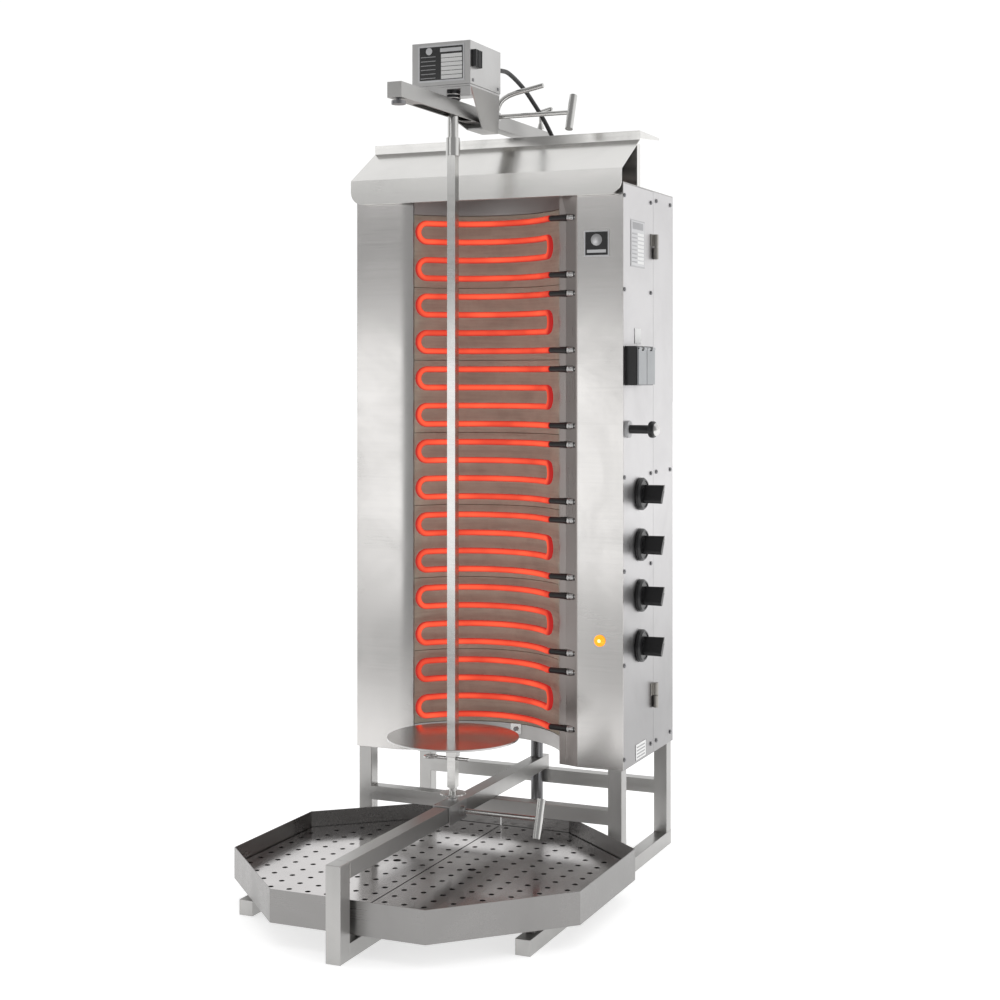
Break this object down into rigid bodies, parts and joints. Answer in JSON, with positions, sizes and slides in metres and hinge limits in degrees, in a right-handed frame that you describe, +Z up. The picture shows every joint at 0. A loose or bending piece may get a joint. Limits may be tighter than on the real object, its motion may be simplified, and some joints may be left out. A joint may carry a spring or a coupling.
{
  "type": "vertical rotisserie broiler",
  "caption": "Free-standing electric upright broiler with a glowing curved heater bay, a motor-driven vertical spit on a sliding head, side controls and a split drip tray.",
  "frame": {"origin": "on the floor, under the middle of the cabinet's front face", "axes": "+X to the right seen from the front, -Y to the front where the spit stands, +Z up"},
  "size_m": [0.5455, 0.738, 1.247],
  "materials": {
    "stand_steel": "brushed",
    "cabinet_steel": "brushed",
    "hood_steel": "brushed",
    "tray_steel": "brushed",
    "strainer_steel": "brushed",
    "head_steel": "brushed",
    "polished_steel": "polished",
    "screw_steel": "satin",
    "dark_steel": "satin",
    "ceramic": "matte ceramic",
    "fibre": "mineral fibre",
    "glowing_element": "glowing red",
    "black_plastic": "satin",
    "cable_rubber": "matte",
    "amber_lens": "glossy",
    "badge": "glossy",
    "label": "satin",
    "regulator_body": "matte",
    "lid_plastic": "frosted",
    "rocker_plastic": "glossy"
  },
  "bodies": {
    "frame": {"floor_rails": "stand_steel", "stand_frame": "stand_steel", "spit_beam": "stand_steel", "front_post": "stand_steel", "mast": "polished_steel", "left_column": "cabinet_steel", "right_column": "cabinet_steel", "left_side_cover": "cabinet_steel", "rear_side_panel": "cabinet_steel", "cabinet_back": "cabinet_steel", "cabinet_end_plates": "cabinet_steel", "bay_trims": "cabinet_steel", "hood": "hood_steel", "flue_plate": "hood_steel", "ceramic_tiles": "ceramic", "insulation_board": "fibre", "heating_elements": "glowing_element", "insulator_sleeves": "black_plastic", "terminal_nuts": "screw_steel", "terminal_block": "ceramic", "pilot_lamp": "amber_lens", "badge_plate": "badge", "frame_screws": "screw_steel", "hinge_pins": "screw_steel", "top_arm": "stand_steel", "cable_glands": "black_plastic", "motor_cable": "cable_rubber"},
    "wing_screw": {"wing_lever": "polished_steel"},
    "control_door": {"control_panel": "cabinet_steel", "panel_hinges": "screw_steel", "panel_screws": "screw_steel", "panel_plates": "label", "regulators": "regulator_body", "switch_box": "black_plastic"},
    "knob_1": {"regulator_knob_1": "black_plastic"},
    "knob_2": {"regulator_knob_2": "black_plastic"},
    "knob_3": {"regulator_knob_3": "black_plastic"},
    "knob_4": {"regulator_knob_4": "black_plastic"},
    "lid_front": {"switch_lid_front": "lid_plastic"},
    "lid_rear": {"switch_lid_rear": "lid_plastic"},
    "rocker_front": {"switch_rocker_front": "rocker_plastic"},
    "rocker_rear": {"switch_rocker_rear": "rocker_plastic"},
    "stem": {"stem_knob": "black_plastic"},
    "head": {"head_saddle": "head_steel", "motor_box": "head_steel", "motor_label": "badge", "gear_motor": "dark_steel", "motor_connector": "black_plastic", "grab_lever": "polished_steel"},
    "upper_clamp": {"upper_clamp_handle": "polished_steel"},
    "drive": {"drive_coupling": "dark_steel"},
    "spit": {"spit_rod": "polished_steel", "meat_disc": "polished_steel"},
    "cotter": {"cotter_pin": "polished_steel"},
    "carriage": {"bearing_carriage": "head_steel"},
    "lower_clamp": {"lower_clamp_handle": "polished_steel"},
    "tray_left": {"drip_tray_left": "tray_steel"},
    "tray_right": {"drip_tray_right": "tray_steel"},
    "strainer_plate_left": {"strainer_left": "strainer_steel"},
    "strainer_plate_right": {"strainer_right": "strainer_steel"}
  },
  "joints": [
    {"name": "head_slide", "type": "slide", "parent": "frame", "child": "head", "axis": [0, 1, 0], "range_m": [-0.11, 0.025], "deforming": ["motor_cable"]},
    {"name": "carriage_slide", "type": "slide", "parent": "frame", "child": "carriage", "axis": [0, 1, 0], "range_m": [-0.11, 0.025]},
    {"name": "upper_clamp_turn", "type": "hinge", "parent": "head", "child": "upper_clamp", "pos_m": [0.138, 0.01, 1.16], "axis": [1, 0, 0], "range_deg": [0, 270]},
    {"name": "lower_clamp_turn", "type": "hinge", "parent": "carriage", "child": "lower_clamp", "pos_m": [0.138, -0.119, 0.116], "axis": [1, 0, 0], "range_deg": [0, 270]},
    {"name": "spit_turn", "type": "hinge", "parent": "head", "child": "drive", "pos_m": [0, -0.119, 1.175], "axis": [0, 0, 1], "continuous": true},
    {"name": "spit_lift", "type": "slide", "parent": "drive", "child": "spit", "axis": [0, 0, 1], "range_m": [0, 0.009]},
    {"name": "cotter_pull", "type": "slide", "parent": "spit", "child": "cotter", "axis": [-1, 0, 0], "range_m": [0, 0.055]},
    {"name": "wing_turn", "type": "hinge", "parent": "frame", "child": "wing_screw", "pos_m": [0, 0.226, 1.18], "axis": [0, 0, 1], "range_deg": [0, 270]},
    {"name": "door_swing", "type": "hinge", "parent": "frame", "child": "control_door", "pos_m": [0.2295, 0.142, 0.6], "axis": [0, 0, 1], "range_deg": [0, 100]},
    {"name": "knob_1_turn", "type": "hinge", "parent": "control_door", "child": "knob_1", "pos_m": [0.232, 0.078, 0.578], "axis": [-1, 0, 0], "range_deg": [0, 270]},
    {"name": "knob_2_turn", "type": "hinge", "parent": "control_door", "child": "knob_2", "pos_m": [0.232, 0.078, 0.5], "axis": [-1, 0, 0], "range_deg": [0, 270]},
    {"name": "knob_3_turn", "type": "hinge", "parent": "control_door", "child": "knob_3", "pos_m": [0.232, 0.078, 0.422], "axis": [-1, 0, 0], "range_deg": [0, 270]},
    {"name": "knob_4_turn", "type": "hinge", "parent": "control_door", "child": "knob_4", "pos_m": [0.232, 0.078, 0.345], "axis": [-1, 0, 0], "range_deg": [0, 270]},
    {"name": "lid_front_swing", "type": "hinge", "parent": "control_door", "child": "lid_front", "pos_m": [0.2454, 0.029, 0.8005], "axis": [0, -1, 0], "range_deg": [0, 110]},
    {"name": "lid_rear_swing", "type": "hinge", "parent": "control_door", "child": "lid_rear", "pos_m": [0.2454, 0.068, 0.8005], "axis": [0, -1, 0], "range_deg": [0, 110]},
    {"name": "rocker_front_tip", "type": "hinge", "parent": "control_door", "child": "rocker_front", "pos_m": [0.235, 0.029, 0.772], "axis": [0, -1, 0], "range_deg": [0, 14]},
    {"name": "rocker_rear_tip", "type": "hinge", "parent": "control_door", "child": "rocker_rear", "pos_m": [0.235, 0.068, 0.772], "axis": [0, -1, 0], "range_deg": [0, 14]},
    {"name": "stem_pull", "type": "slide", "parent": "control_door", "child": "stem", "axis": [1, 0, 0], "range_m": [0, 0.006]},
    {"name": "tray_left_slide", "type": "slide", "parent": "frame", "child": "tray_left", "axis": [-0.8, -0.6, 0], "range_m": [0, 0.25]},
    {"name": "tray_right_slide", "type": "slide", "parent": "frame", "child": "tray_right", "axis": [0.8, -0.6, 0], "range_m": [0, 0.25]},
    {"name": "strainer_left_lift", "type": "slide", "parent": "tray_left", "child": "strainer_plate_left", "axis": [0, 0, 1], "range_m": [0, 0.025]},
    {"name": "strainer_right_lift", "type": "slide", "parent": "tray_right", "child": "strainer_plate_right", "axis": [0, 0, 1], "range_m": [0, 0.025]}
  ],
  "couplings": [
    {"joint": "carriage_slide", "follows": "head_slide", "ratio": 1}
  ]
}
